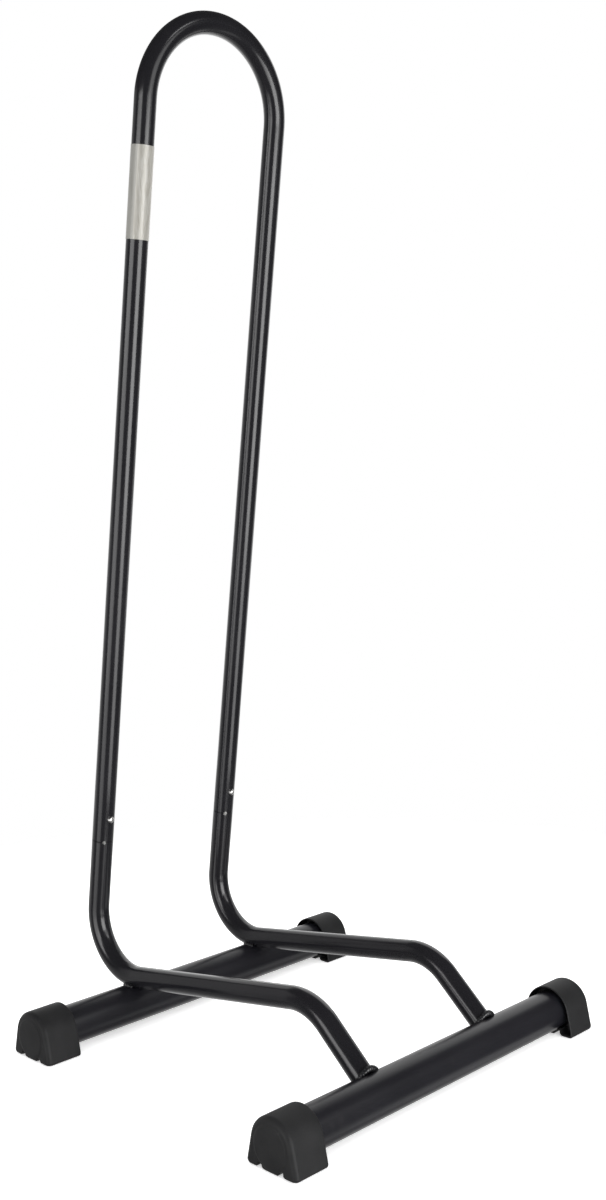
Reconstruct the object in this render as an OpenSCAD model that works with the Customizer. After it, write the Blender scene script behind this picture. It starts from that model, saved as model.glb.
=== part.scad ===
// Free-standing floor stand for one bicycle wheel: a lift-off loop on two bent legs,
// welded to two crossbars with rubber end caps. Millimetres, Z up, the front is -Y,
// and the origin lies on the floor under the middle of the stand.

/* [Legs and loop] */
// Outer diameter of the leg and loop tube
tube_d = 16; // [14:0.5:19]
// Wall of the leg and loop tube
tube_wall = 1.5; // [1:0.1:2]
// Distance between the two legs, centre to centre
leg_spacing = 122; // [90:1:160]
// Forward lean of the legs and the loop, in degrees from upright
leg_lean = 8.2; // [2:0.1:14]
// Straight length of a lower leg, from the top of its rear bend to the seam
lower_leg_l = 53; // [45:1:120]
// Straight length of the loop, from the seam to where its arch begins
loop_leg_l = 542.5; // [300:0.5:700]
// Centre-line radius of the bends in a lower leg
bend_r = 42; // [30:1:60]

/* [Base] */
// Outer diameter of a crossbar
bar_d = 28.6; // [26:0.1:34]
// Wall of a crossbar
bar_wall = 1.5; // [1:0.1:2.5]
// Distance between the crossbars, centre to centre
bar_spacing = 248; // [220:1:320]
// Overall width over the end caps
base_w = 308; // [250:1:420]
// Rise of the side rails towards the front, in degrees
rail_rise = 8.8; // [3:0.1:12]
// Slope of the front drops below level, in degrees
drop_angle = 41; // [34:0.5:50]
// Depth of the saddle notch by which a leg sits down on the rear crossbar
notch_depth = 2.3; // [1:0.1:3.5]

/* [End caps] */
// Length of an end cap along its crossbar
cap_l = 28; // [24:0.5:40]
// Thickness of an end cap's arched top over its crossbar
cap_wall = 3.7; // [3:0.1:6]
// Overhang of an end cap's foot beyond its arched top, on each side
foot_flare = 4.3; // [2.5:0.1:8]
// Rubber under the crossbar
sole_t = 1.3; // [1:0.1:5]
// Thickness of an end cap's end wall
cap_end_t = 4; // [3:0.5:8]
// Radius that rounds an end cap's outer end
cap_round_r = 5; // [3:0.5:8]
// Depth of the hollow round the crossbar at an end cap's mouth
mouth_depth = 6; // [3:0.5:10]
// Thickness of an end cap's lip round that hollow
lip_t = 1.6; // [1.2:0.1:2.2]
// Rubber between that hollow and the tread
tread_t = 1.2; // [0.8:0.1:3]
// Width of a tread groove under an end cap
groove_w = 3.5; // [2:0.5:5]
// Depth of a tread groove
groove_depth = 2.5; // [1.5:0.1:2.8]
// Distance of a tread groove from the middle of its cap
groove_y = 9; // [7.5:0.5:12]

/* [Seam and snap buttons] */
// Wall of the reduced spigot that stands up inside the loop
spigot_wall = 1.2; // [0.8:0.1:1.4]
// Radial gap between the spigot and the loop
spigot_gap = 0.1; // [0.05:0.01:0.2]
// Bevel on the two tube ends that meet at the seam
seam_bevel = 0.4; // [0.2:0.1:0.7]
// Height of the snap buttons above the seam
button_rise = 18; // [12:1:28]
// Length of the spigot above the snap buttons
spigot_over = 22; // [12:1:40]
// Diameter of a snap button
button_d = 4.8; // [4:0.1:5.2]
// Height by which a snap button stands out of the loop
button_proud = 2.4; // [1.6:0.1:3]
// Radial running gap round a snap button
button_gap = 0.08; // [0.05:0.01:0.1]
// Width of the leaf spring behind a button
leaf_w = 4; // [3:0.1:4.5]
// Thickness of that leaf spring
leaf_t = 0.5; // [0.3:0.1:0.6]
// Length of the leaf spring below its button
leaf_l = 26; // [18:1:40]

/* [Label] */
// Length of the bare label wrapped round the left leg of the loop
label_l = 64; // [30:1:120]
// Distance from the start of the arch down to the label
label_drop = 32; // [10:1:100]
// Thickness of the label
label_t = 0.15; // [0.1:0.05:0.3]

/* [Welds] */
// Radius of a weld bead
bead_r = 2.2; // [1.5:0.1:2.8]
// Half angle that a short rear bead spans round the rear crossbar
bead_span = 19; // [12:1:22]

/* [Hidden] */
$fn = 96;
// Play between two faces that rest on each other
seat_gap = 0.05;
// Overrun of a cutting tool past the face that it cuts
cut = 1;
// Radial step from a straight tube down to a bend
bend_slim = 0.02;

tube_r = tube_d / 2;
bar_r = bar_d / 2;
leg_x = leg_spacing / 2;
bar_z = bar_r + sole_t;
cap_r = bar_r + cap_wall;
foot_y = cap_r + foot_flare;

// Side view, as [y, z] from the axis of the rear crossbar. The rear bend is centred
// straight above that crossbar, and each front drop points at the front crossbar's axis.
rear_bend = [0, bar_r + tube_r - notch_depth + bend_r];
leg_foot = rear_bend + bend_r * [cos(leg_lean), sin(leg_lean)];
rail_dir = [-cos(rail_rise), sin(rail_rise)];
drop_dir = [-cos(drop_angle), -sin(drop_angle)];
front_axis = [-bar_spacing, 0];
rail_start = rear_bend - bend_r * [sin(rail_rise), cos(rail_rise)];
corner_run = cross(front_axis - rail_start, drop_dir) / cross(rail_dir, drop_dir);
front_corner = rail_start + corner_run * rail_dir;
corner_cut = bend_r * tan((rail_rise + drop_angle) / 2);
rail_end = front_corner - corner_cut * rail_dir;
front_bend = rail_end - bend_r * [sin(rail_rise), cos(rail_rise)];
drop_start = front_corner + corner_cut * drop_dir;

// The origin is in the middle of the overall depth
rear_y = max(bend_r + tube_r, foot_y);
front_y = -bar_spacing - foot_y;
shift_y = -(rear_y + front_y) / 2;

// Along a leg, counted up from the top of its rear bend
seam_z = lower_leg_l;
arch_z = lower_leg_l + loop_leg_l;
button_z = seam_z + button_rise;
spigot_top = button_z + spigot_over;

// Across a leg, counted from its centre line
bore_r = tube_r - tube_wall;
spigot_r = bore_r - spigot_gap;
spigot_bore_r = spigot_r - spigot_wall;
button_r = button_d / 2;
flange_r = button_r + 0.8;
flange_t = 0.8;
flange_top = sqrt(pow(spigot_bore_r, 2) - pow(flange_r, 2)) - 0.15;
dome_h = 1.5;
leaf_front = flange_top - flange_t - seat_gap;
leaf_back = sqrt(pow(spigot_bore_r, 2) - pow(leaf_w / 2, 2)) - seat_gap;

tube_color = [0.16, 0.16, 0.17];
rubber_color = [0.22, 0.22, 0.22];

function unit(v) = v / norm(v);

// Direction of a line of points at its point i
function heading(p, i) =
    unit((i > 0 ? unit(p[i] - p[i - 1]) : [0, 0]) + (i < len(p) - 1 ? unit(p[i + 1] - p[i]) : [0, 0]));

// The line of points moved sideways by a distance
function beside(p, d) = [for (i = [0 : len(p) - 1]) p[i] + d * [-heading(p, i)[1], heading(p, i)[0]]];

// Outline of a strip of thickness t along a line of points
function strip_outline(p, t) = let (back = beside(p, -t / 2))
    concat(beside(p, t / 2), [for (i = [len(p) - 1 : -1 : 0]) back[i]]);

// Faces between n rings of m points, as a closed loop or with two flat ends
function ring_faces(n, m, closed) = concat(
    [for (i = [0 : n - (closed ? 1 : 2)], j = [0 : m - 1], half = [0, 1]) half == 0
        ? [i * m + j, ((i + 1) % n) * m + j, ((i + 1) % n) * m + (j + 1) % m]
        : [i * m + j, ((i + 1) % n) * m + (j + 1) % m, i * m + (j + 1) % m]],
    closed ? [] : [[for (j = [0 : m - 1]) j], [for (j = [m - 1 : -1 : 0]) (n - 1) * m + j]]
);

// Half width of the saddle notch at an angle round the rear crossbar
function notch_x(a) = let (reach = norm([bar_r * sin(a), rear_bend[1] - bar_r * cos(a)]) - bend_r)
    sqrt(max(0, pow(tube_r, 2) - pow(reach, 2)));

// Places the side view of a leg, drawn in x and y, at one side of the stand
module side_view(side) {
    translate([side * leg_x, shift_y, bar_z]) rotate([90, 0, 90]) children();
}

// Places what is drawn along a leg: Z runs up the leg and -Y faces the front
module leg_frame() {
    translate([0, shift_y + leg_foot[0], bar_z + leg_foot[1]]) rotate([leg_lean, 0, 0]) children();
}

module ring(outer, inner) {
    difference() {
        circle(r = outer);
        circle(r = inner);
    }
}

// A straight tube in the side view, from one point to another
module straight_tube(from, to) {
    way = to - from;
    translate([from[0], from[1], 0]) rotate([0, 0, atan2(way[1], way[0])]) rotate([0, 90, 0])
        linear_extrude(norm(way)) ring(tube_r, bore_r);
}

// A bent tube in the side view, round a centre. It runs a little way into the straights at
// its ends, inside their walls, so that the joints are plain unions.
module bent_tube(centre, first, turn) {
    lap = 0.5 / bend_r * 180 / PI;
    translate([centre[0], centre[1], 0]) rotate([0, 0, first - lap])
        rotate_extrude(angle = turn + 2 * lap) translate([bend_r, 0]) ring(tube_r - bend_slim, bore_r + bend_slim);
}

// A cylinder along the axis of a crossbar
module bar_core(y, radius, length) {
    translate([0, y, bar_z]) rotate([0, 90, 0]) cylinder(r = radius, h = length, center = true);
}

module button_hole(side) {
    translate([side * leg_x, 0, button_z]) rotate([90, 0, 0])
        cylinder(r = button_r + button_gap, h = tube_r + cut);
}

module upper_loop() {
    color(tube_color) leg_frame() difference() {
        union() {
            for (side = [-1, 1]) translate([side * leg_x, 0, seam_z]) rotate_extrude() polygon([
                [bore_r, 0], [tube_r - seam_bevel, 0], [tube_r, seam_bevel],
                [tube_r, loop_leg_l], [bore_r, loop_leg_l]
            ]);
            translate([0, 0, arch_z]) rotate([90, 0, 0]) rotate_extrude(angle = 180)
                translate([leg_x, 0]) ring(tube_r, bore_r);
        }
        for (side = [-1, 1]) button_hole(side);
    }
}

// The straight top of a lower leg, reduced above the seam to a spigot for the loop
module leg_top(side) {
    leg_frame() difference() {
        translate([side * leg_x, 0, 0]) rotate_extrude() polygon([
            [bore_r, 0], [tube_r, 0], [tube_r, seam_z - seam_bevel], [tube_r - seam_bevel, seam_z],
            [spigot_r, seam_z], [spigot_r, spigot_top - spigot_wall / 2],
            [spigot_r - spigot_wall / 2, spigot_top], [spigot_bore_r, spigot_top],
            [spigot_bore_r, seam_z - tube_wall], [bore_r, seam_z - 2 * tube_wall]
        ]);
        button_hole(side);
    }
}

module lower_leg(side) {
    color(tube_color) {
        leg_top(side);
        difference() {
            side_view(side) {
                bent_tube(rear_bend, -90 - rail_rise, 90 + rail_rise + leg_lean);
                straight_tube(rail_start, rail_end);
                bent_tube(front_bend, 90 - rail_rise, rail_rise + drop_angle);
                straight_tube(drop_start, front_axis);
            }
            bar_core(shift_y, bar_r, leg_spacing + 2 * tube_d);
            bar_core(shift_y - bar_spacing, bar_r, leg_spacing + 2 * tube_d);
        }
    }
}

module crossbar(y) {
    length = base_w - 2 * cap_end_t;
    color(tube_color) difference() {
        bar_core(y, bar_r, length);
        bar_core(y, bar_r - bar_wall, length + 2 * cut);
    }
}

// An end cap before its ends are shaped: an arched top whose flanks flare out to a grooved foot
module cap_block() {
    flank_z = cap_r / 4;
    flank_y = sqrt(pow(cap_r, 2) - pow(flank_z, 2)) - 0.15;
    toe = 1.5;
    difference() {
        union() {
            rotate([0, 90, 0]) cylinder(r = cap_r, h = cap_l);
            rotate([90, 0, 90]) linear_extrude(cap_l) polygon([
                [flank_y, flank_z], [foot_y, toe - bar_z], [foot_y - toe, -bar_z],
                [toe - foot_y, -bar_z], [-foot_y, toe - bar_z], [-flank_y, flank_z]
            ]);
        }
        // The arch's cylinder ends at the floor
        translate([-cut, -cap_r, -bar_z - cap_r]) cube([cap_l + 2 * cut, 2 * cap_r, cap_r]);
        for (side = [-1, 1]) translate([-cut, side * groove_y - groove_w / 2, -bar_z - cut])
            cube([cap_l + 2 * cut, groove_w, groove_depth + cut]);
    }
}

// View of an end cap from above or from its side, with the outer corners rounded
module cap_view(low, high, round_low) {
    translate([-cut, low]) square([cap_l - cap_round_r + cut, high - low]);
    translate([0, low + (round_low ? cap_round_r : 0)])
        square([cap_l, high - low - (round_low ? 2 : 1) * cap_round_r]);
    translate([cap_l - cap_round_r, high - cap_round_r]) circle(r = cap_round_r);
    if (round_low) translate([cap_l - cap_round_r, low + cap_round_r]) circle(r = cap_round_r);
}

// One end cap, with its mouth at x = 0 and its outer end at x = cap_l
module cap_body() {
    difference() {
        intersection() {
            cap_block();
            translate([0, 0, -bar_z - cut]) linear_extrude(bar_z + cap_r + 2 * cut)
                cap_view(-foot_y, foot_y, true);
            translate([0, foot_y + cut, 0]) rotate([90, 0, 0]) linear_extrude(2 * foot_y + 2 * cut)
                cap_view(-bar_z - cut, cap_r, false);
        }
        translate([-cut, 0, 0]) rotate([0, 90, 0])
            cylinder(r = bar_r + seat_gap, h = cap_l - cap_end_t + cut);
        // The hollow at the mouth stops above the tread
        intersection() {
            translate([-cut, 0, 0]) rotate([0, 90, 0]) cylinder(r = cap_r - lip_t, h = mouth_depth + cut);
            translate([-2 * cut, -cap_r, groove_depth + tread_t - bar_z])
                cube([mouth_depth + 4 * cut, 2 * cap_r, 2 * cap_r]);
        }
    }
}

module end_cap(side, y) {
    color(rubber_color) translate([side * (base_w / 2 - cap_l), y, bar_z])
        mirror([side < 0 ? 1 : 0, 0, 0]) cap_body();
}

// A domed button with a flange that stops it inside the spigot
module snap_button(side) {
    color("silver") leg_frame() translate([side * leg_x, 0, button_z]) rotate([90, 0, 0])
        rotate_extrude() polygon(concat(
            [[0, flange_top - flange_t], [flange_r, flange_top - flange_t], [flange_r, flange_top],
                [button_r, flange_top]],
            [for (a = [0 : 15 : 90])
                [button_r * cos(a), tube_r + button_proud - dome_h * (1 - sin(a))]]
        ));
}

// A leaf bent into a hairpin: its front rests on the button's flange and its back on the spigot
module button_spring(side) {
    front = leaf_t / 2 - leaf_front;
    back = leaf_back - leaf_t / 2;
    turn_r = 1.5;
    foot = button_z - leaf_l;
    path = concat(
        [[front, button_z + flange_r], [front, button_z - flange_r]],
        [for (a = [180 : 20 : 360]) [back - turn_r + turn_r * cos(a), foot + turn_r * sin(a)]],
        [[back, button_z + 2 * flange_r]]
    );
    color("gray") leg_frame() translate([side * leg_x - leaf_w / 2, 0, 0]) rotate([90, 0, 90])
        linear_extrude(leaf_w) polygon(strip_outline(path, leaf_t));
}

module loop_label() {
    color([0.78, 0.77, 0.74]) leg_frame()
        translate([-leg_x, 0, arch_z - label_drop - label_l]) linear_extrude(label_l)
            ring(tube_r + seat_gap + label_t, tube_r + seat_gap);
}

// A bead all round the joint of a front drop and the front crossbar
module weld_front(side) {
    steps = 36;
    sides = 8;
    points = [for (i = [0 : steps - 1], j = [0 : sides - 1])
        let (a = 360 * i / steps, b = 360 * j / sides,
            out = tube_r + bead_r * (0.3 + cos(b)),
            up = sqrt(pow(bar_r, 2) - pow(tube_r * sin(a), 2)) + bead_r * (0.2 + sin(b)))
        [out * cos(a), out * sin(a), up]];
    color(tube_color) translate([side * leg_x, shift_y - bar_spacing, bar_z])
        rotate([drop_angle - 90, 0, 0]) polyhedron(points, ring_faces(steps, sides, true));
}

// A short bead along one flank of a leg, on top of the rear crossbar
module weld_rear(side, flank) {
    steps = 12;
    sides = 8;
    points = [for (i = [0 : steps], j = [0 : sides - 1])
        let (s = 2 * i / steps - 1, a = s * bead_span, b = -360 * j / sides,
            bead = bead_r * (0.25 + 0.75 * sqrt(1 - s * s)),
            up = bar_r + bead_r * 0.2 + bead * sin(b))
        [flank * (notch_x(a) + bead_r * 0.35 + bead * cos(b)), up * sin(a), up * cos(a)]];
    faces = ring_faces(steps + 1, sides, false);
    color(tube_color) translate([side * leg_x, shift_y, bar_z])
        polyhedron(points, flank > 0 ? faces : [for (f = faces) [for (k = [len(f) - 1 : -1 : 0]) f[k]]]);
}

upper_loop();
lower_leg(-1);  // lower_leg_left
lower_leg(1);  // lower_leg_right
crossbar(shift_y);  // rear_crossbar
crossbar(shift_y - bar_spacing);  // front_crossbar
end_cap(-1, shift_y);  // cap_rear_left
end_cap(1, shift_y);  // cap_rear_right
end_cap(-1, shift_y - bar_spacing);  // cap_front_left
end_cap(1, shift_y - bar_spacing);  // cap_front_right
snap_button(-1);  // snap_button_left
snap_button(1);  // snap_button_right
button_spring(-1);  // button_spring_left
button_spring(1);  // button_spring_right
loop_label();
weld_front(-1);  // weld_front_left
weld_front(1);  // weld_front_right
weld_rear(-1, -1);  // weld_rear_left_outer
weld_rear(-1, 1);  // weld_rear_left_inner
weld_rear(1, -1);  // weld_rear_right_inner
weld_rear(1, 1);  // weld_rear_right_outer
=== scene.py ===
import bpy
import bmesh
from math import cos, sin, tan, radians, pi, sqrt
from mathutils import Matrix, Vector


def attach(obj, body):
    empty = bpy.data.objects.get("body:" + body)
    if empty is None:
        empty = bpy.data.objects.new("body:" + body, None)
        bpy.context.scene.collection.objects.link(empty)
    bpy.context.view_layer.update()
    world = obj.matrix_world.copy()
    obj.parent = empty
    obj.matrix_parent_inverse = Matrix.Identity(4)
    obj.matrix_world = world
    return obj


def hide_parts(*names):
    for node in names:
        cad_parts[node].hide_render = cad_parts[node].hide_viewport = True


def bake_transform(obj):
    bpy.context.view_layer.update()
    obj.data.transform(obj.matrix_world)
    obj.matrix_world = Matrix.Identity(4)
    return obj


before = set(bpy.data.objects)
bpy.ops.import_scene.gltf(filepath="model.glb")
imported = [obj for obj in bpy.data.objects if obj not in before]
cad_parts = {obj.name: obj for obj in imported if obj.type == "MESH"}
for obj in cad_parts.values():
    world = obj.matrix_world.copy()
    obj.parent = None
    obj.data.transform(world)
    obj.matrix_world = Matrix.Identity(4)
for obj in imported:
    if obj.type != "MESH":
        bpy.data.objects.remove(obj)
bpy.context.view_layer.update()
print("stage: frame loaded")

# Main sizes of the stand, in metres, as the solids have them
stand = {
    "tube": 0.008, "wall": 0.0015, "legX": 0.061, "lean": radians(8.2), "bend": 0.042,
    "bar": 0.0143, "barWall": 0.0015, "barGap": 0.248, "halfWidth": 0.154, "axisHeight": 0.0156,
    "rearY": 0.11015, "rise": radians(8.8), "drop": radians(41), "notch": 0.0023,
}
frontY = stand["rearY"] - stand["barGap"]
bendRise = stand["bar"] + stand["tube"] - stand["notch"] + stand["bend"]     # above the rear crossbar's axis
bendMiddle = Vector((0, stand["rearY"], stand["axisHeight"] + bendRise))
rightWay = Vector((1, 0, 0))
legUp = Vector((0, -sin(stand["lean"]), cos(stand["lean"])))
legBack = Vector((0, cos(stand["lean"]), sin(stand["lean"])))
legFoot = bendMiddle + stand["bend"] * legBack


def onLeg(x, height, out=0.0):
    # a point beside a leg's axis: height counts up from the top of the rear bend, out to the front
    return Vector((x, 0, 0)) + legFoot + height * legUp - out * legBack


# Small helpers for meshes

def toObject(bm, name):
    # hands a bmesh over to a new object
    mesh = bpy.data.meshes.new(name)
    bm.to_mesh(mesh)
    bm.free()
    made = bpy.data.objects.new(name, mesh)
    bpy.context.scene.collection.objects.link(made)
    return made


def turnedTo(place, way):
    # puts a shape at a place, with its own Z along a way
    return Matrix.Translation(Vector(place)) @ Vector(way).to_track_quat("Z", "X").to_matrix().to_4x4()


def newPiece(name, bm, body="stand", smooth=40):
    bmesh.ops.recalc_face_normals(bm, faces=bm.faces)
    piece = toObject(bm, name)
    piece.data.shade_smooth()
    if smooth:
        piece.data.set_sharp_from_angle(angle=radians(smooth))
    if body:
        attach(piece, body)
    return piece


class TubeRun:
    # a ring of edges that is pushed along straights and spun round bends

    def __init__(self, centre, way, radius, sides=72):
        self.bm = bmesh.new()
        self.centre, self.way, self.radius = Vector(centre), Vector(way).normalized(), radius
        bmesh.ops.create_circle(self.bm, cap_ends=False, radius=radius, segments=sides,
                                matrix=turnedTo(self.centre, self.way))
        self.ring = self.bm.edges[:]
        self.first = self.ring[:]

    def verts(self):
        return list({v for e in self.ring for v in e.verts})

    def step(self, length, radius=None):
        made = bmesh.ops.extrude_edge_only(self.bm, edges=self.ring)["geom"]
        verts = [g for g in made if isinstance(g, bmesh.types.BMVert)]
        inside = set(verts)
        near = {e for v in verts for e in v.link_edges}
        self.ring = [e for e in near if inside.issuperset(e.verts)]
        bmesh.ops.translate(self.bm, vec=self.way * length, verts=verts)
        self.centre = self.centre + self.way * length
        if radius is not None:
            size = radius / self.radius
            bmesh.ops.scale(self.bm, vec=(size,) * 3, space=Matrix.Translation(-self.centre), verts=verts)
            self.radius = radius

    def straight(self, length, parts=1):
        for _ in range(parts):
            self.step(length / parts)

    def turn(self, pivot, axis, angle, steps):
        made = bmesh.ops.spin(self.bm, geom=self.ring + self.verts(), cent=pivot, axis=axis, angle=angle,
                              steps=steps, dvec=(0, 0, 0), use_merge=False, use_normal_flip=False,
                              use_duplicate=False)
        self.ring = [g for g in made["geom_last"] if isinstance(g, bmesh.types.BMEdge)]
        swing = Matrix.Rotation(angle, 3, axis)
        self.centre = Vector(pivot) + swing @ (self.centre - Vector(pivot))
        self.way = swing @ self.way

    def join(self):
        # joins the last ring to the first one, so that the wall closes
        bmesh.ops.bridge_loops(self.bm, edges=self.ring + self.first)
        return self.bm


class StripRun(TubeRun):
    # the same for a flat strip, which starts as one edge across X

    def __init__(self, centre, way, width):
        self.bm = bmesh.new()
        self.centre, self.way = Vector(centre), Vector(way).normalized()
        ends = [self.bm.verts.new(self.centre + Vector((aside * width / 2, 0, 0))) for aside in (-1, 1)]
        self.ring = [self.bm.edges.new(ends)]


def sleeve(start, way, inner, outer, length, ease, sides, parts):
    # a hollow sleeve with an eased rim at each end
    run = TubeRun(start, way, outer - ease, sides)
    run.step(ease, outer)
    run.straight(length - 2 * ease, parts)
    run.step(ease, outer - ease)
    run.step(0, inner)
    run.way = -run.way                      # back along the inside
    run.straight(length)
    return run.join()


def cutBy(piece, *cutters, smooth=35):
    # takes cutters out of a piece, and leaves a plain mesh
    for cutter in cutters:
        cut = piece.modifiers.new("cut", "BOOLEAN")
        cut.operation, cut.solver, cut.object = "DIFFERENCE", "EXACT", cutter
    graph = bpy.context.evaluated_depsgraph_get()
    mesh = bpy.data.meshes.new_from_object(piece.evaluated_get(graph))
    piece.modifiers.clear()
    old, piece.data = piece.data, mesh
    mesh.name = piece.name
    bpy.data.meshes.remove(old)
    for cutter in cutters:
        bpy.data.objects.remove(cutter)
    mesh.set_sharp_from_angle(angle=radians(smooth))


def roundBar(centre, way, radius, length, sides):
    # a plain closed rod, as a bmesh
    bm = bmesh.new()
    bmesh.ops.create_cone(bm, cap_ends=True, segments=sides, radius1=radius, radius2=radius, depth=length,
                          matrix=turnedTo(centre, way))
    return bm


def rod(centre, way, radius, length, sides=48):
    # a rod that is only ever used as a cutter
    return toObject(roundBar(centre, way, radius, length, sides), "cutter")


# Loop: two legs with a hole for a button each, an arch and a bevelled lip at each seam
loop = {
    "seam": 0.053, "straight": 0.5425, "parts": 6, "archSteps": 72, "bevel": 0.0004,
    "buttonUp": 0.018, "hole": 0.00248, "holeCut": 0.008, "holeZone": 0.005,
}
bore = stand["tube"] - stand["wall"]
archAt = loop["seam"] + loop["straight"]
archMiddle = onLeg(0, archAt)
buttonAt = loop["seam"] + loop["buttonUp"]


def holeCutter(x):
    # short enough to open the front wall only
    return rod(onLeg(x, buttonAt, stand["tube"]), legBack, loop["hole"], loop["holeCut"])


def buildLoop():
    legX, tube, zone = stand["legX"], stand["tube"], loop["holeZone"]
    belowHole = loop["buttonUp"] - loop["bevel"] - zone
    aboveHole = loop["straight"] - loop["buttonUp"] - zone
    run = TubeRun(onLeg(-legX, loop["seam"]), legUp, tube - loop["bevel"])
    run.step(loop["bevel"], tube)
    run.straight(belowHole)
    run.straight(2 * zone)                  # the stretch round the button's hole has rings of its own
    run.straight(aboveHole, loop["parts"])
    run.turn(archMiddle, legBack, pi, loop["archSteps"])
    run.straight(aboveHole, loop["parts"])
    run.straight(2 * zone)
    run.straight(belowHole)
    run.step(loop["bevel"], tube - loop["bevel"])
    run.step(0, bore)                       # the rim, then back up the inside
    run.way = -run.way
    run.straight(loop["straight"])
    run.turn(archMiddle, -legBack, pi, loop["archSteps"])
    run.straight(loop["straight"])
    piece = newPiece("loopTube", run.join())
    for x in (-legX, legX):
        cutBy(piece, holeCutter(x))
    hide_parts("upper_loop")
    return piece


# Lower legs: spigot, shoulder, rear bend, side rail, front drop
leg = {
    "over": 0.022, "spigotGap": 0.0001, "spigotWall": 0.0012, "rearSteps": 54, "frontSteps": 28,
    "railParts": 4, "landing": 0.002, "sunk": 0.0002, "notchLength": 0.05, "notchSides": 144,
}
railWay = Vector((0, -cos(stand["rise"]), sin(stand["rise"])))
railUp = Vector((0, sin(stand["rise"]), cos(stand["rise"])))
dropWay = Vector((0, -cos(stand["drop"]), -sin(stand["drop"])))
railStart = bendMiddle - stand["bend"] * railUp
frontAxis = Vector((0, frontY, stand["axisHeight"]))


def crossYZ(a, b):
    # tells where two ways meet in the side view
    return a.y * b.z - a.z * b.y


cornerRun = crossYZ(frontAxis - railStart, dropWay) / crossYZ(railWay, dropWay)
corner = railStart + cornerRun * railWay
cornerCut = stand["bend"] * tan((stand["rise"] + stand["drop"]) / 2)
railEnd = corner - cornerCut * railWay
frontMiddle = railEnd - stand["bend"] * railUp
dropStart = corner + cornerCut * dropWay
dropLength = (frontAxis - dropStart).length


def landOnBar(run, depth):
    # the end of a drop is shaped to the round of the front crossbar
    for vert in run.verts():
        across = vert.co.x - run.centre.x
        reach = sqrt((stand["bar"] - depth) ** 2 - across ** 2)
        vert.co -= dropWay * (reach + (vert.co - frontAxis).dot(dropWay))


def buildLeg(side, name):
    tube, wall, zone = stand["tube"], stand["wall"], loop["holeZone"]
    x = side * stand["legX"]
    aside = Vector((x, 0, 0))
    spigot = bore - leg["spigotGap"]
    inner = spigot - leg["spigotWall"]
    rim = leg["spigotWall"] / 2
    top = buttonAt + leg["over"]
    rearTurn = pi / 2 + stand["rise"] + stand["lean"]
    frontTurn = stand["rise"] + stand["drop"]
    railLength = (railEnd - railStart).length
    dropRun = dropLength - stand["bar"] - leg["landing"]
    landing = aside + frontAxis - dropWay * (stand["bar"] + leg["landing"])
    run = TubeRun(onLeg(x, top), -legUp, inner)
    run.step(0, spigot - rim)
    run.step(rim, spigot)
    run.straight(leg["over"] - rim - zone)
    run.straight(2 * zone)
    run.straight(loop["buttonUp"] - zone)
    run.step(0, tube - loop["bevel"])       # the shoulder that the loop stands on
    run.step(loop["bevel"], tube)
    run.straight(loop["seam"] - loop["bevel"], 2)
    run.turn(bendMiddle + aside, -rightWay, rearTurn, leg["rearSteps"])
    run.straight(railLength, leg["railParts"])
    run.turn(frontMiddle + aside, rightWay, frontTurn, leg["frontSteps"])
    run.straight(dropRun)
    run.step(leg["landing"])
    landOnBar(run, leg["sunk"])
    run.step(0, bore)
    landOnBar(run, leg["sunk"])
    run.way = -run.way                      # back up the inside, from the crossbar to the spigot
    run.centre = landing
    run.step(0)
    for vert in run.verts():
        vert.co -= dropWay * (vert.co - landing).dot(dropWay)
    run.straight(dropRun)
    run.turn(frontMiddle + aside, -rightWay, frontTurn, leg["frontSteps"])
    run.straight(railLength, leg["railParts"])
    run.turn(bendMiddle + aside, rightWay, rearTurn, leg["rearSteps"])
    run.straight(loop["seam"] - 2 * wall)
    run.step(wall, inner)
    run.straight(top - loop["seam"] + wall)
    piece = newPiece(name, run.join())
    rearAxis = aside + Vector((0, stand["rearY"], stand["axisHeight"]))
    notch = rod(rearAxis, rightWay, stand["bar"], leg["notchLength"], leg["notchSides"])
    cutBy(piece, holeCutter(x), notch)
    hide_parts("lower_leg_left" if side < 0 else "lower_leg_right")
    return piece


loopTube = buildLoop()
lowerLegs = [buildLeg(-1, "lowerLegLeft"), buildLeg(1, "lowerLegRight")]
print("stage: loop and legs made")

# Crossbars: plain hollow tubes with an eased rim at each end
crossbar = {"length": 0.300, "ease": 0.0003, "sides": 112, "parts": 8}


def buildBar(y, name, node):
    start = (-crossbar["length"] / 2, y, stand["axisHeight"])
    bm = sleeve(start, rightWay, stand["bar"] - stand["barWall"], stand["bar"], crossbar["length"],
                crossbar["ease"], crossbar["sides"], crossbar["parts"])
    piece = newPiece(name, bm)
    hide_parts(node)
    return piece


crossbars = [buildBar(stand["rearY"], "rearBar", "rear_crossbar"),
             buildBar(frontY, "frontBar", "front_crossbar")]
print("stage: crossbars made")

# End caps: an arched shell with two side feet, and a round cup for the tube that hangs between them
cap = {
    "length": 0.028, "setBack": 0.0004, "arch": 0.0185, "tangent": radians(12.7), "corner": 0.0022,
    "round": 0.0036, "lift": 0.35, "toe": 0.0008, "mouthEase": 0.0004, "fit": 0.01435, "endWall": 0.004,
    "cup": 0.01555, "cupFrom": 0.010, "cupRound": 0.0030, "belly": 0.0074, "bellyTop": -0.010,
    "bellyInset": 0.0012, "footIn": 0.0110, "groove": 0.0034, "roofEase": 0.0004, "ease": 0.0018,
    "shell": 0.0009, "mouth": 0.0095, "sole": 0.0018, "hollowTop": -0.0105, "hollowCorner": 0.0012,
    "overshoot": 0.002, "archSteps": 24, "edgeSteps": 8, "soleSteps": 6, "roundSteps": 12,
    "voxel": 0.00036, "softness": 0.5, "softSteps": 4,
}


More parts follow.
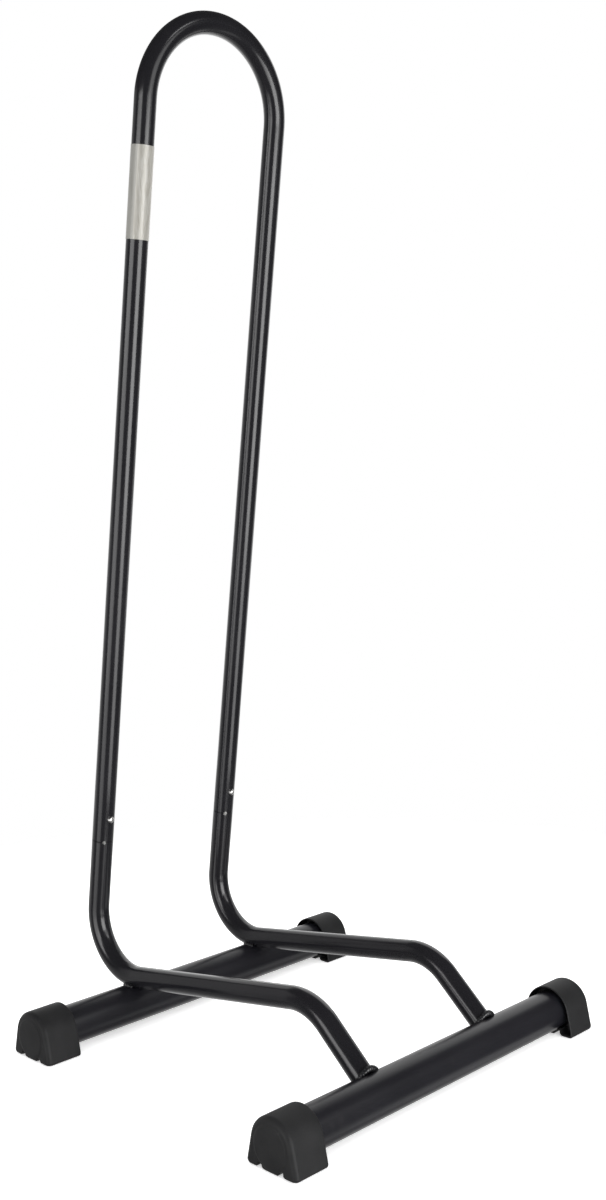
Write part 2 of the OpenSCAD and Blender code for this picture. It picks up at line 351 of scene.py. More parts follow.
def capOutline(inset, floorInset, corner):
    # half of the outline in y and z, from the top of the arch down the flank to the floor's middle
    radius, lean, steps = cap["arch"] - inset, cap["tangent"], cap["edgeSteps"]
    floor = -stand["axisHeight"] + floorInset
    arc = [(pi / 2 - lean) * i / cap["archSteps"] for i in range(cap["archSteps"] + 1)]
    points = [(radius * sin(a), radius * cos(a)) for a in arc]
    down = (radius * cos(lean), radius * sin(lean))
    run = (down[1] - floor) / cos(lean)
    foot = (down[0] + run * sin(lean), floor)
    reach = corner * tan((pi / 2 + lean) / 2)
    begin = (foot[0] - reach * sin(lean), foot[1] + reach * cos(lean))
    for share in [i / steps for i in range(1, steps)]:
        points.append((down[0] + (begin[0] - down[0]) * share, down[1] + (begin[1] - down[1]) * share))
    middle = (foot[0] - reach, floor + corner)
    for i in range(steps + 1):
        a = lean - (pi / 2 + lean) * i / steps
        points.append((middle[0] + corner * cos(a), middle[1] + corner * sin(a)))
    points += [(middle[0] * (1 - i / cap["soleSteps"]), floor) for i in range(1, cap["soleSteps"])]
    return points


def loft(sections, name):
    # sections are (x, outline) pairs: the first is a face, which is extruded and reshaped to each next one
    bm = bmesh.new()
    x, outline = sections[0]
    start = end = bm.faces.new([bm.verts.new((x, y, z)) for y, z in outline])
    for x, outline in sections[1:]:
        made = bmesh.ops.extrude_face_region(bm, geom=[end])["geom"]
        if end is not start:
            bmesh.ops.delete(bm, geom=[end], context="FACES_ONLY")   # the extrusion leaves it inside
        end = next(g for g in made if isinstance(g, bmesh.types.BMFace))
        for vert, (y, z) in zip(end.verts, outline):
            vert.co = (x, y, z)
    bmesh.ops.recalc_face_normals(bm, faces=bm.faces)
    return toObject(bm, name)


def bothSides(half):
    # the whole outline from its right half
    return half + [(-y, z) for y, z in reversed(half[1:])]


def drum(radius, low, high, name, roundEnd=0.0, sides=128):
    # a closed drum along X, whose outer rim may be rounded
    bm = roundBar(((low + high) / 2, 0, 0), rightWay, radius, high - low, sides)
    if roundEnd:
        rim = [e for e in bm.edges if all(abs(v.co.x - high) < 1e-6 for v in e.verts)]
        bmesh.ops.bevel(bm, geom=rim, offset=roundEnd, affect="EDGES", segments=8, profile=0.5, material=-1)
    return toObject(bm, name)


def capShell():
    # at the mouth the foot is rounded off and the arch only eased, and the outer end is well rounded
    end, radius, toe = cap["length"] - cap["setBack"], cap["round"], cap["toe"]
    sections = []
    for i in range(cap["edgeSteps"] + 1):
        a = pi / 2 * i / cap["edgeSteps"]
        left = 1 - sin(a)
        outline = capOutline(cap["mouthEase"] * left, toe * left, cap["corner"])
        sections.append((toe * (1 - cos(a)), bothSides(outline)))
    for i in range(cap["roundSteps"] + 1):
        a = pi / 2 * i / cap["roundSteps"]
        inset = radius * (1 - cos(a))
        outline = capOutline(inset, inset * cap["lift"], cap["corner"])
        sections.append((end - radius + radius * sin(a), bothSides(outline)))
    return loft(sections, "capShell")


def capGroove(side):
    # a tread groove between the belly and a foot, with a rounded roof and eased edges at the floor
    floor, belly, foot = -stand["axisHeight"], cap["belly"], cap["footIn"]
    roof, below, ease, small = floor + cap["groove"], floor - cap["overshoot"], cap["ease"], cap["roofEase"]
    shape = [(belly - ease, below), (belly - ease, floor), (belly, floor + ease), (belly, roof - small),
             (belly + 2 * small, roof), (foot - small, roof + 2 * small), (foot, roof), (foot, floor + ease),
             (foot + ease, floor), (foot + ease, below)]
    shape = [(side * y, z) for y, z in shape]
    return loft([(-cap["overshoot"], shape), (cap["length"] + cap["overshoot"], shape)], "capGroove")


def capBelly():
    # the block under the cup, between the two grooves
    floor, half, top, ease = -stand["axisHeight"], cap["belly"], cap["bellyTop"], cap["ease"]
    shape = [(-half, top), (half, top), (half, floor + ease), (half - ease, floor), (-half + ease, floor),
             (-half, floor + ease)]
    return loft([(cap["bellyInset"], shape), (cap["length"] - cap["bellyInset"], shape)], "capBelly")


def capHollow():
    # the room at the mouth, between the shell and the block
    side, sole = cap["footIn"] + cap["shell"], cap["sole"] - stand["axisHeight"]
    half = capOutline(cap["shell"], cap["sole"], cap["hollowCorner"])[:1 - cap["soleSteps"]]
    inner = bothSides(half + [(side, sole), (side, cap["hollowTop"])])
    return loft([(-cap["overshoot"], inner), (cap["mouth"], inner)], "capHollow")


def mouldCap():
    body = capShell()
    cup = drum(cap["cup"], cap["cupFrom"], cap["length"], "capCup", cap["cupRound"])
    socket = drum(cap["fit"], -cap["overshoot"], cap["length"] - cap["endWall"], "capSocket")
    steps = [(capGroove(-1), "DIFFERENCE"), (capGroove(1), "DIFFERENCE"), (cup, "UNION"),
             (capBelly(), "UNION"), (capHollow(), "DIFFERENCE"), (socket, "DIFFERENCE")]
    for part, how in steps:
        mould = body.modifiers.new("mould", "BOOLEAN")
        mould.operation, mould.solver, mould.object = how, "EXACT", part
    remesh = body.modifiers.new("remesh", "REMESH")
    remesh.mode, remesh.voxel_size, remesh.use_smooth_shade = "VOXEL", cap["voxel"], True
    soften = body.modifiers.new("soften", "SMOOTH")
    soften.factor, soften.iterations = cap["softness"], cap["softSteps"]
    graph = bpy.context.evaluated_depsgraph_get()
    mesh = bpy.data.meshes.new_from_object(body.evaluated_get(graph))
    for part, how in steps:
        bpy.data.objects.remove(part)
    bpy.data.objects.remove(body)
    return mesh


def placeCap(moulded, side, y, name, node):
    bm = bmesh.new()
    bm.from_mesh(moulded)
    if side < 0:
        bmesh.ops.scale(bm, vec=(-1, 1, 1), verts=bm.verts)
        bmesh.ops.reverse_faces(bm, faces=bm.faces)
    mouth = (side * (stand["halfWidth"] - cap["length"]), y, stand["axisHeight"])
    bmesh.ops.translate(bm, vec=mouth, verts=bm.verts)
    for vert in bm.verts:
        vert.co.z = max(vert.co.z, 0.0)
    piece = newPiece(name, bm, smooth=0)
    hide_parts(node)
    return piece


moulded = mouldCap()
caps = []
for end, y in (("Rear", stand["rearY"]), ("Front", frontY)):
    for which, side in (("Left", -1), ("Right", 1)):
        node = "cap_%s_%s" % (end.lower(), which.lower())
        caps.append(placeCap(moulded, side, y, "cap" + end + which, node))
bpy.data.meshes.remove(moulded)
print("stage: end caps made,", len(caps[0].data.polygons), "faces each")

# Snap buttons: a dome on a short shank with a flange that stays inside the spigot
button = {
    "radius": 0.0024, "flange": 0.0032, "flangeThick": 0.0008, "flangeTop": 0.003949, "edge": 0.0002,
    "tip": 0.0104, "dome": 0.0015, "domeStep": 9, "sides": 64, "smooth": 50,
}


def buildButton(side, name, body):
    radius, tip, dome = button["radius"], button["tip"], button["dome"]
    flange, high, edge = button["flange"], button["flangeTop"], button["edge"]
    low = high - button["flangeThick"]
    profile = [(0, low), (flange - edge, low), (flange, low + edge), (flange, high - edge),
               (flange - edge, high), (radius, high), (radius, tip - dome)]
    for angle in range(button["domeStep"], 90, button["domeStep"]):
        profile.append((radius * cos(radians(angle)), tip - dome + dome * sin(radians(angle))))
    profile.append((0, tip))
    bm = bmesh.new()
    verts = [bm.verts.new((r, 0, h)) for r, h in profile]
    chain = [bm.edges.new(pair) for pair in zip(verts[:-1], verts[1:])]
    bmesh.ops.spin(bm, geom=verts + chain, cent=(0, 0, 0), axis=(0, 0, 1), angle=2 * pi,
                   steps=button["sides"], dvec=(0, 0, 0), use_merge=True, use_duplicate=False)
    bmesh.ops.remove_doubles(bm, verts=bm.verts, dist=1e-6)
    bmesh.ops.transform(bm, matrix=turnedTo(onLeg(side * stand["legX"], buttonAt), -legBack), verts=bm.verts)
    piece = newPiece(name, bm, body, button["smooth"])
    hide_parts("snap_button_left" if side < 0 else "snap_button_right")
    return piece


buttons = [buildButton(-1, "buttonLeft", "button_left"), buildButton(1, "buttonRight", "button_right")]
print("stage: buttons made")

# Leaf springs: a flat strip bent into a hairpin inside the spigot, whose front run gives way with its button
spring = {
    "width": 0.004, "thick": 0.0005, "front": 0.0030988, "back": 0.00475, "turn": 0.00175, "foot": 0.045,
    "knee": 0.0678, "top": 0.0742, "backTop": 0.0774, "edge": 0.00006,
    "topParts": 3, "slantParts": 18, "turnSteps": 16, "backParts": 6, "rimAngle": radians(60),
}


def buildSpring(side, name, node):
    x, thick = side * stand["legX"], spring["thick"]
    knee = onLeg(x, spring["knee"], spring["front"])
    turnMiddle = onLeg(x, spring["foot"], spring["turn"] - spring["back"])
    turnStart = onLeg(x, spring["foot"], 2 * spring["turn"] - spring["back"])
    slant = turnStart - knee
    run = StripRun(onLeg(x, spring["top"], spring["front"]), -legUp, spring["width"])
    run.straight(spring["top"] - spring["knee"], spring["topParts"])
    run.way = slant.normalized()
    run.straight(slant.length, spring["slantParts"])
    run.turn(turnMiddle, rightWay, pi, spring["turnSteps"])
    run.way = legUp
    run.straight(spring["backTop"] - spring["foot"], spring["backParts"])
    bm = run.bm
    bmesh.ops.recalc_face_normals(bm, faces=bm.faces)
    bmesh.ops.solidify(bm, geom=bm.faces[:], thickness=thick)
    rims = [e for e in bm.edges if e.calc_face_angle(0) > spring["rimAngle"]]
    bmesh.ops.bevel(bm, geom=rims, offset=spring["edge"], affect="EDGES", segments=2, profile=0.5,
                    material=-1)
    piece = newPiece(name, bm, None)
    # on the real spring the turn and the back run stay with the leg and the front run's end goes with the
    # button; here the two points are only worked out, and nothing uses them
    held = onLeg(x, spring["backTop"], thick - spring["back"])
    across = (held - turnStart).cross(rightWay).normalized()
    free = across * (knee + legBack * thick - held).dot(across)
    tuple(held + free)
    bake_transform(piece)
    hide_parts(node)
    return piece


springs = [buildSpring(-1, "leafSpringLeft", "button_spring_left"),
           buildSpring(1, "leafSpringRight", "button_spring_right")]
print("stage: springs made")

# Label: a bare film wrapped once round the left leg of the loop, its end lapped at the back
label = {
    "length": 0.064, "drop": 0.032, "gap": 0.00005, "thick": 0.00015, "sides": 120, "parts": 16,
    "lapWidth": 0.004, "lapRise": 0.8,
}


def buildLabel():
    foot = onLeg(-stand["legX"], archAt - label["drop"] - label["length"])
    inner = stand["tube"] + label["gap"]
    bm = sleeve(foot, legUp, inner, inner + label["thick"], label["length"], label["thick"] / 2,
                label["sides"], label["parts"])
    # the lapped end is a narrow strip at the back, most of a film's thickness proud
    for vert in bm.verts:
        arm = vert.co - foot
        arm -= legUp * arm.dot(legUp)
        atBack = arm.dot(legBack) > 0 and abs(arm.x) < label["lapWidth"] / 2
        if atBack and arm.length > inner + 1e-5:
            vert.co += arm.normalized() * label["thick"] * label["lapRise"]
    piece = newPiece("labelFilm", bm)
    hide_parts("loop_label")
    return piece


labelFilm = buildLabel()
print("stage: label made")

# Weld beads: rippled, one all round each front joint and two short ones over the rear crossbar at each leg
weld = {
    "size": 0.0022, "roundness": 5, "lift": 0.2, "span": radians(19), "smooth": 60,
    "frontPoints": 208, "frontRipples": 26, "frontAside": 0.3, "frontRipple": 0.12, "frontSteep": 6,
    "frontFall": 0.6, "heft": 0.95, "heavier": 0.15, "uneven": 0.05, "lobes": 5,
    "rearPoints": 46, "rearRipples": 7, "rearAside": 0.35, "rearRipple": 0.16, "rearSteep": 5,
    "rearEnd": 0.25,
}


def beadAlong(name, points, sizes, closed, nodes):
    curve = bpy.data.curves.new(name, "CURVE")
    curve.dimensions, curve.use_fill_caps = "3D", True
    curve.bevel_depth, curve.bevel_resolution = weld["size"], weld["roundness"]
    line = curve.splines.new("POLY")
    line.points.add(len(points) - 1)
    line.use_cyclic_u = closed
    for spot, place, size in zip(line.points, points, sizes):
        spot.co = (*place, 1)
        spot.radius = size
    holder = bpy.data.objects.new(name, curve)
    bpy.context.scene.collection.objects.link(holder)
    graph = bpy.context.evaluated_depsgraph_get()
    made = bpy.data.meshes.new_from_object(holder.evaluated_get(graph))
    bm = bmesh.new()
    bm.from_mesh(made)
    bmesh.ops.remove_doubles(bm, verts=bm.verts, dist=1e-7)
    bpy.data.objects.remove(holder)
    bpy.data.curves.remove(curve)
    bpy.data.meshes.remove(made)
    piece = newPiece(name, bm, smooth=weld["smooth"])
    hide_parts(*nodes)
    return piece


def buildFrontBead(side, name, node):
    bar, tube, size, count = stand["bar"], stand["tube"], weld["size"], weld["frontPoints"]
    outward = -dropWay
    sideways = outward.cross(rightWay)
    centre = Vector((side * stand["legX"], 0, 0)) + frontAxis
    out = tube + size * weld["frontAside"]
    points, sizes = [], []
    for i in range(count):
        a = 2 * pi * i / count
        up = sqrt(bar ** 2 - (tube * cos(a)) ** 2) + size * weld["lift"]
        points.append(centre + rightWay * out * cos(a) - sideways * out * sin(a) + outward * up)
        wave = i * weld["frontRipples"] / count % 1
        crest = (1 - wave) ** weld["frontFall"] * min(1, wave * weld["frontSteep"])
        heavy = weld["heft"] + weld["heavier"] * cos(a)          # the bead is heavier on its right side
        uneven = weld["uneven"] * sin(weld["lobes"] * a + side)
        sizes.append(heavy * (1 + weld["frontRipple"] * (2 * crest - 1) + uneven))
    return beadAlong(name, points, sizes, True, [node])


def buildRearBead(side, flank, name, node):
    bar, size, count = stand["bar"], weld["size"], weld["rearPoints"]
    centre = Vector((side * stand["legX"], stand["rearY"], stand["axisHeight"]))
    up = bar + size * weld["lift"]
    points, sizes = [], []
    for i in range(count):
        s = 2 * i / (count - 1) - 1
        a = s * weld["span"]
        reach = sqrt((bar * sin(a)) ** 2 + (bendRise - bar * cos(a)) ** 2) - stand["bend"]
        notchX = sqrt(max(0, stand["tube"] ** 2 - reach ** 2))
        aside = flank * (notchX + size * weld["rearAside"])
        points.append(centre + Vector((aside, up * sin(a), up * cos(a))))
        wave = i * weld["rearRipples"] / count % 1
        crest = (1 - wave) * min(1, wave * weld["rearSteep"])
        taper = weld["rearEnd"] + (1 - weld["rearEnd"]) * sqrt(max(0, 1 - s * s))
        sizes.append(taper * (1 + weld["rearRipple"] * (crest - 0.5)))
    return beadAlong(name, points, sizes, False, [node])


welds = [buildFrontBead(-1, "weldFrontLeft", "weld_front_left"),
         buildFrontBead(1, "weldFrontRight", "weld_front_right"),
         buildRearBead(-1, -1, "weldRearLeftOuter", "weld_rear_left_outer"),
         buildRearBead(-1, 1, "weldRearLeftInner", "weld_rear_left_inner"),
         buildRearBead(1, -1, "weldRearRightInner", "weld_rear_right_inner"),
         buildRearBead(1, 1, "weldRearRightOuter", "weld_rear_right_outer")]
print("stage: weld beads made")


# Finishes. Maths on a socket adds the Math nodes.

class Level:
    def __init__(self, finish, socket):
        self.finish, self.socket = finish, socket

    def maths(self, operation, first, second):
        return self.finish.node("ShaderNodeMath", {"operation": operation}, {0: first, 1: second})

    def __add__(self, other): return self.maths("ADD", self, other)
    def __radd__(self, other): return self.maths("ADD", other, self)
    def __sub__(self, other): return self.maths("SUBTRACT", self, other)
    def __rsub__(self, other): return self.maths("SUBTRACT", other, self)
    def __mul__(self, other): return self.maths("MULTIPLY", self, other)
    def __rmul__(self, other): return self.maths("MULTIPLY", other, self)

    def between(self, low, high):
        # 0 below low and 1 above high, with a soft step between them
        return self.finish.node("ShaderNodeMapRange", {"interpolation_type": "SMOOTHSTEP"},
                                {"Value": self, "From Min": low, "From Max": high})


class Graph:
    # one node tree, of a finish or of the studio's backdrop

    def __init__(self, holder):
        holder.use_nodes = True
        self.tree = holder.node_tree
        self.tree.nodes.clear()

    def feed(self, socket, value):
        if isinstance(value, Level):
            self.tree.links.new(value.socket, socket)
        elif hasattr(socket.default_value, "__len__") and not isinstance(value, (int, float)):
            value = tuple(value)
            socket.default_value = value + (1,) * (len(socket.default_value) - len(value))
        else:
            socket.default_value = value

    def node(self, kind, settings=None, inputs=None, out=0):
        made = self.tree.nodes.new(kind)
        for key, value in (settings or {}).items():
            setattr(made, key, value)
        for key, value in (inputs or {}).items():
            self.feed(made.inputs[key], value)
        return None if out is None else Level(self, made.outputs[out])


class Finish(Graph):
    def __init__(self, name):
        self.material = bpy.data.materials.new(name)
        super().__init__(self.material)
        surface = self.node("ShaderNodeBsdfPrincipled")
        self.shader = surface.socket.node
        self.node("ShaderNodeOutputMaterial", None, {"Surface": surface}, None)
        self.place = self.node("ShaderNodeTexCoord", out="Object")

    def noise(self, scale, detail=2, rough=0.5, stretch=None):
        place = self.place
        if stretch is not None:
            place = self.node("ShaderNodeMapping", None, {"Vector": place, "Scale": stretch})
        inputs = {"Vector": place, "Scale": scale, "Detail": detail, "Roughness": rough}
        return self.node("ShaderNodeTexNoise", None, inputs, "Fac")

    def mix(self, share, a, b):
        # sockets 6 and 7 are the node's two colours, and output 2 is the mixed one
        return self.node("ShaderNodeMix", {"data_type": "RGBA"}, {0: share, 6: a, 7: b}, 2)

    def along(self, way):
        inputs = {0: self.place, 1: way}
        return self.node("ShaderNodeVectorMath", {"operation": "DOT_PRODUCT"}, inputs, "Value")

    def set(self, **sockets):
        names = {"color": "Base Color", "rough": "Roughness", "metal": "Metallic", "alpha": "Alpha",
                 "specular": "Specular IOR Level", "glowColor": "Emission Color", "glow": "Emission Strength"}
        for key, value in sockets.items():
            self.feed(self.shader.inputs[names[key]], value)

    def bump(self, height, depth, strength=1.0):
        inputs = {"Height": height, "Distance": depth, "Strength": strength}
        self.feed(self.shader.inputs["Normal"], self.node("ShaderNodeBump", None, inputs, "Normal"))

    def coat(self, *pieces):
        for piece in pieces:
            if len(piece.data.materials):
                for i in range(len(piece.data.materials)):
                    piece.data.materials[i] = self.material
            else:
                piece.data.materials.append(self.material)


look = {
    "legCoat": {"dark": (0.0074, 0.0072, 0.0086), "light": (0.0096, 0.0093, 0.0110), "rough": 0.19},
    "barCoat": {"dark": (0.0072, 0.0070, 0.0093), "light": (0.0096, 0.0093, 0.0122), "rough": 0.32},
    "weldCoat": {"dark": (0.0075, 0.0075, 0.0085), "light": (0.012, 0.012, 0.0135), "rough": 0.26},
    "rub": (0.02, 0.02, 0.02), "peelDepth": 0.00004,
}


def blackCoat(name):
    # gloss powder coat: orange peel, a little cloudiness, dust nibs and fine rub marks
    paint = look[name]
    finish = Finish(name)
    cloud = finish.noise(14, 3)
    fine = finish.noise(260, 3)
    nibs = finish.noise(1500, 1).between(0.74, 0.80)
    rubs = finish.noise(90, 4, 0.6, (1, 1, 0.12)).between(0.60, 0.78)
    color = finish.mix(cloud.between(0.3, 0.7), paint["dark"], paint["light"])
    color = finish.mix(rubs * 0.25, color, look["rub"])
    rough = paint["rough"] + 0.05 * (cloud - 0.5) + 0.06 * (fine - 0.5) + 0.08 * rubs
    peel = finish.noise(420, 1)
    grain = finish.noise(3200, 2)
    finish.set(color=color, rough=rough)
    finish.bump(peel * 0.6 + grain * 0.03 + nibs * 0.25, look["peelDepth"], 0.5)
    finish.color, finish.rough = color, rough                     # the leg's chips are laid over these
    return finish


# The coat is chipped to bright steel at one spot of each seam's rim, and the chip catches the light
chip = {
    "toward": Vector((-0.465, -0.885, 0.0)), "below": 0.0002, "from": 0.0021, "to": 0.0024, "ragged": 0.0018,
    "steel": (0.40, 0.40, 0.39), "rougher": 0.20,
}


def buildLegCoat():
    coat = blackCoat("legCoat")
    toward = chip["toward"] - legUp * legUp.dot(chip["toward"])
    ragged = coat.noise(800, 3) * chip["ragged"]
    bare = 0
    for x in (-stand["legX"], stand["legX"]):
        spot = onLeg(x, loop["seam"] - chip["below"]) + toward.normalized() * stand["tube"]
        inputs = {0: coat.place, 1: tuple(spot)}
        away = coat.node("ShaderNodeVectorMath", {"operation": "DISTANCE"}, inputs, "Value")
        bare = bare + 1 - (away + ragged).between(chip["from"], chip["to"])
    rough = coat.rough + chip["rougher"] * bare
    coat.set(color=coat.mix(bare, coat.color, chip["steel"]), metal=bare, rough=rough)
    return coat


buildLegCoat().coat(loopTube, *lowerLegs)
blackCoat("barCoat").coat(*crossbars)
blackCoat("weldCoat").coat(*welds)

rubber = {
    "dark": (0.0100, 0.0100, 0.0106), "light": (0.0138, 0.0138, 0.0144), "dust": (0.036, 0.035, 0.033),
    "scuff": (0.028, 0.028, 0.028), "rough": 0.54, "specular": 0.22, "grainDepth": 0.00009,
    "dustFrom": 0.0005, "dustTo": 0.005,
}


def buildRubber():
    # matt moulded rubber, scuffed here and there and dusty near the floor
    finish = Finish("capRubber")
    patch = finish.noise(60, 3)
    grain = finish.noise(2600, 2)
    inputs = {"Vector": finish.place, "Scale": 1500}
    leather = finish.node("ShaderNodeTexVoronoi", {"feature": "SMOOTH_F1"}, inputs, "Distance")
    low = 1 - finish.along((0, 0, 1)).between(rubber["dustFrom"], rubber["dustTo"])
    dusty = low * finish.noise(350, 4).between(0.35, 0.75)
    scuff = finish.noise(180, 4, 0.6, (1, 1, 3)).between(0.62, 0.8)
    tone = finish.mix(patch.between(0.3, 0.7), rubber["dark"], rubber["light"])
    tone = finish.mix(dusty * 0.22, tone, rubber["dust"])
    tone = finish.mix(scuff * 0.25, tone, rubber["scuff"])
    rough = rubber["rough"] + 0.12 * (grain - 0.5) + 0.08 * dusty
    finish.set(color=tone, rough=rough, specular=rubber["specular"])
    finish.bump(grain * 0.5 + leather * 0.5, rubber["grainDepth"], 0.7)
    return finish


buildRubber().coat(*caps)

steel = {
    "button": (0.86, 0.85, 0.83), "buttonDull": (0.72, 0.71, 0.69), "buttonRough": 0.36,
    "spring": (0.42, 0.42, 0.43), "springBright": (0.55, 0.55, 0.56), "springRough": 0.32,
    "grainDepth": 0.00002,
}


def buildButtonSteel():
    finish = Finish("buttonSteel")
    haze = finish.noise(900, 3)
    color = finish.mix(haze.between(0.3, 0.7), steel["button"], steel["buttonDull"])
    finish.set(color=color, metal=1.0, rough=steel["buttonRough"] + 0.14 * (haze - 0.5))
    finish.bump(finish.noise(5000, 2), steel["grainDepth"], 0.4)
    return finish


def buildSpringSteel():
    # brushed along its length
    finish = Finish("springSteel")
    brush = finish.noise(900, 3, 0.6, (1, 1, 0.08))
    color = finish.mix(brush.between(0.3, 0.7), steel["spring"], steel["springBright"])
    finish.set(color=color, metal=1.0, rough=steel["springRough"] + 0.18 * (brush - 0.5))
    finish.bump(brush, steel["grainDepth"], 0.5)
    return finish


buildButtonSteel().coat(*buttons)
buildSpringSteel().coat(*springs)

# the greyer tone and its bounds, set across the camera's view, are painted shade on the film's left side
film = {
    "dark": (0.230, 0.222, 0.198), "light": (0.300, 0.293, 0.271), "mottle": (0.22, 0.207, 0.18),
    "strip": (0.165, 0.165, 0.155), "stripWay": Vector((0.6767, -0.7363, 0)), "stripFrom": -0.0022,
    "stripTo": -0.0019, "rough": 0.34, "metal": 0.15, "grainDepth": 0.00003,
}


def buildFilm():
    # pale film, streaked lengthwise, with painted shade: a greyer strip down the side that is on the left as
    # seen from the camera
    finish = Finish("labelFilm")
    streak = finish.noise(700, 3, 0.55, (1, 1, 0.03))
    mottle = finish.noise(45, 3)
    fibre = finish.noise(2400, 2)
    tone = finish.mix(streak.between(0.3, 0.7), film["dark"], film["light"])
    tone = finish.mix(mottle.between(0.45, 0.75) * 0.35, tone, film["mottle"])
    # painted shade: the film is greyed on the side to the camera's left, in place of the shade that falls
    # there
    aside = film["stripWay"] - legUp * legUp.dot(film["stripWay"])
    fromAxis = finish.along(aside) - aside.dot(onLeg(-stand["legX"], 0))
    strip = 1 - fromAxis.between(film["stripFrom"], film["stripTo"])
    tone = finish.mix(strip * 0.55, tone, film["strip"])
    rough = film["rough"] + 0.14 * (streak - 0.5) + 0.06 * (fibre - 0.5)
    finish.set(color=tone, rough=rough, metal=film["metal"])
    finish.bump(streak * 0.6 + fibre * 0.3, film["grainDepth"], 0.5)
    return finish


buildFilm().coat(labelFilm)
print("stage: finishes made")

# Camera at the photograph's place: a fit of the outline gives its angles, distance and picture centre
view = {
    "azimuth": radians(-47.4256), "elevation": radians(5.4531), "roll": radians(-0.7560), "distance": 0.9822,
    "aim": Vector((0, -0.01385, 0.3156)), "aside": 0.05466, "above": -0.003574, "focal": 1382.536,
    "centreX": 376.414, "centreY": 615.577, "wide": 606, "high": 1200, "sensor": 36.0,
    "near": 0.01, "far": 50,
}


def buildCamera():
    az, el, roll = view["azimuth"], view["elevation"], view["roll"]
    back = Vector((sin(az) * cos(el), -cos(az) * cos(el), sin(el)))
    right = Vector((cos(az), sin(az), 0))
    up = back.cross(right)
    right, up = right * cos(roll) + up * sin(roll), up * cos(roll) - right * sin(roll)
    eye = view["aim"] + right * view["aside"] + up * view["above"] + back * view["distance"]
    data = bpy.data.cameras.new("photoCamera")
    data.sensor_fit, data.sensor_width = "AUTO", view["sensor"]
    data.lens = view["focal"] / view["high"] * view["sensor"]
    data.shift_x = (view["wide"] / 2 - view["centreX"]) / view["high"]
    data.shift_y = (view["centreY"] - view["high"] / 2) / view["high"]
    data.clip_start, data.clip_end = view["near"], view["far"]
    camera = bpy.data.objects.new("photoCamera", data)
    camera.matrix_world = Matrix.Translation(eye) @ Matrix((right, up, back)).transposed().to_4x4()
    bpy.context.scene.collection.objects.link(camera)
    bpy.context.scene.camera = camera


buildCamera()

# Studio: a pale round floor that fades into the white backdrop, and soft boxes all round
studio = {
    "floorRadius": 0.75, "floorDrop": 0.0002, "floorTone": 0.97, "floorCloud": 1.02, "floorRough": 0.9,
    "floorGlow": 0.45, "fadeFrom": 0.42, "fadeTo": 0.68, "backdrop": 1.0, "skyFill": 1.0,
    "shade": 0.04, "glow": 0.75, "glowFrom": 0.15, "glowTo": 0.85, "brightest": radians(52),
    "high": 0.09, "highFrom": 0.05, "highTo": 0.45, "low": 0.13, "lowFrom": -0.60, "lowTo": -0.28,
}
softBoxes = [  # name, azimuth from the stand, distance, lower edge, upper edge, width, radiance
    ("leftUpper", 182, 4.0, 0.30, 1.49, 3.0, 3.9),
    ("leftMiddle", 182, 4.0, -0.78, 0.30, 3.0, 2.9),
    ("leftLower", 182, 4.0, -1.39, -0.78, 2.9, 1.8),
    ("leftLowest", 182, 4.0, -2.06, -1.39, 2.9, 1.5),
    ("frontHigh", -72, 3.0, 2.16, 2.52, 1.1, 5.8),
    ("frontTop", -78, 1.5, 0.66, 1.18, 1.05, 2.0),
    ("frontBand", -94, 1.5, 0.50, 0.66, 1.00, 7.8),
    ("frontUpper", -94, 1.5, -0.15, 0.50, 1.00, 6.2),
    ("frontLower", -94, 1.5, -0.70, -0.15, 1.00, 3.5),
    ("frontLowest", -97, 1.5, -1.00, -0.70, 1.00, 1.2),
    ("rightLow", -33, 1.5, -1.50, -0.70, 0.95, 0.6),
    ("rearLeft", 118, 1.5, -0.60, 1.20, 1.10, 0.33),
    ("rightWall", 18, 1.1, 0.0, 0.45, 1.0, 0.65),
    ("rightHigh", 22, 1.1, 0.45, 1.35, 1.0, 1.15),
    ("backWall", 67, 1.1, 0.0, 1.00, 1.0, 0.75),
]


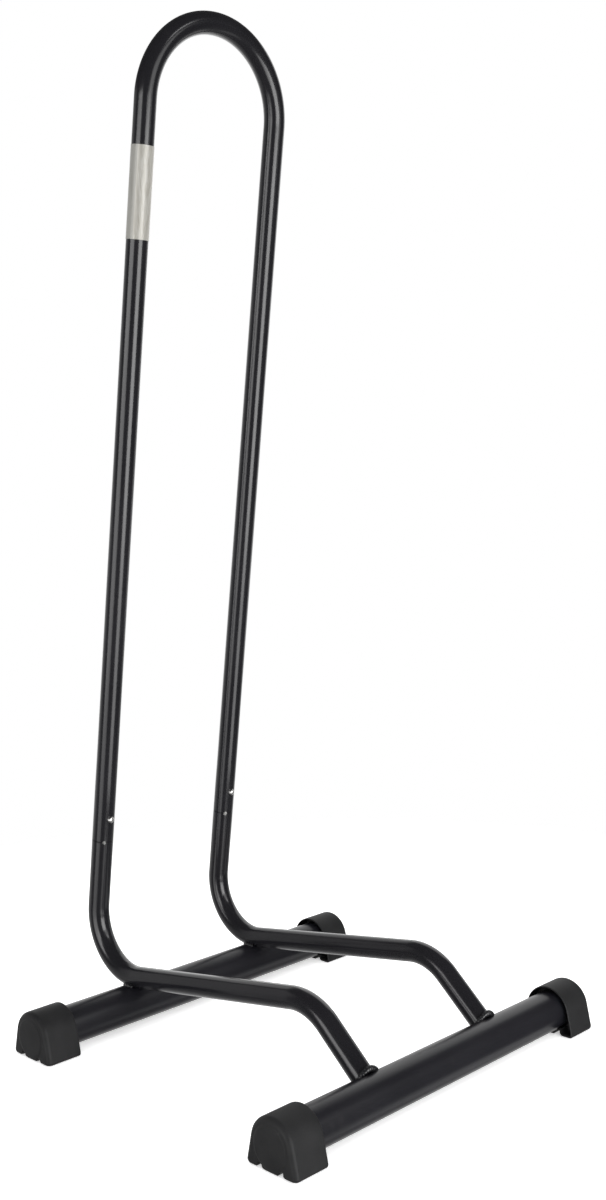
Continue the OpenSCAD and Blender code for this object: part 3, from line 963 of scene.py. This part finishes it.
def buildFloor():
    bm = bmesh.new()
    bmesh.ops.create_circle(bm, cap_ends=True, cap_tris=False, radius=studio["floorRadius"], segments=96,
                            matrix=Matrix.Translation((0, 0, -studio["floorDrop"])))
    floor = toObject(bm, "studioFloor")
    paint = Finish("floorPaint")
    distance = paint.node("ShaderNodeVectorMath", {"operation": "LENGTH"}, {0: paint.place}, "Value")
    tone = studio["floorTone"]
    color = paint.mix(paint.noise(6, 2), (tone,) * 3, (tone * studio["floorCloud"],) * 3)
    paint.set(color=color, rough=studio["floorRough"], specular=0.0, glowColor=(1, 1, 1),
              glow=studio["floorGlow"], alpha=1 - distance.between(studio["fadeFrom"], studio["fadeTo"]))
    paint.coat(floor)
    floor.visible_glossy = False            # the tubes mirror the boxes below it, as in the photograph


def buildLights():
    for name, azimuth, distance, low, high, wide, radiance in softBoxes:
        data = bpy.data.lights.new(name, "AREA")
        data.shape, data.size, data.size_y = "RECTANGLE", wide, high - low
        data.energy = radiance * pi * wide * (high - low)
        lamp = bpy.data.objects.new(name, data)
        place = Vector((cos(radians(azimuth)) * distance, sin(radians(azimuth)) * distance, (low + high) / 2))
        aim = Vector((place.x, place.y, 0))
        lamp.matrix_world = Matrix.Translation(place) @ aim.to_track_quat("Z", "Y").to_matrix().to_4x4()
        lamp.visible_camera = False
        bpy.context.scene.collection.objects.link(lamp)


def buildWorld():
    # the camera sees white; the tubes mirror a glow behind the stand and a dark room elsewhere
    world = bpy.data.worlds.new("studioWorld")
    bpy.context.scene.world = world
    sky = Graph(world)
    way = sky.node("ShaderNodeTexCoord", out="Generated")
    toward = (cos(studio["brightest"]), sin(studio["brightest"]), 0)
    facing = sky.node("ShaderNodeVectorMath", {"operation": "DOT_PRODUCT"}, {0: way, 1: toward}, "Value")
    height = sky.node("ShaderNodeSeparateXYZ", None, {0: way}, "Z")
    high = height.between(studio["highFrom"], studio["highTo"]) * (1 - studio["high"])
    behind = facing.between(studio["glowFrom"], studio["glowTo"]) * studio["glow"] * (1 - high)
    below = (1 - height.between(studio["lowFrom"], studio["lowTo"])) * (studio["low"] - studio["shade"])
    strength = behind + below + studio["shade"]
    for ray, tone in (("Is Diffuse Ray", studio["skyFill"]), ("Is Camera Ray", studio["backdrop"])):
        mask = sky.node("ShaderNodeLightPath", out=ray)
        strength = sky.node("ShaderNodeMix", {"data_type": "FLOAT"}, {0: mask, 2: strength, 3: tone})
    glow = sky.node("ShaderNodeBackground", None, {"Color": (1, 1, 1), "Strength": strength})
    sky.node("ShaderNodeOutputWorld", None, {"Surface": glow}, None)


buildFloor()
buildLights()
buildWorld()
bpy.context.scene.view_settings.view_transform = "Standard"
print("stage: studio made")
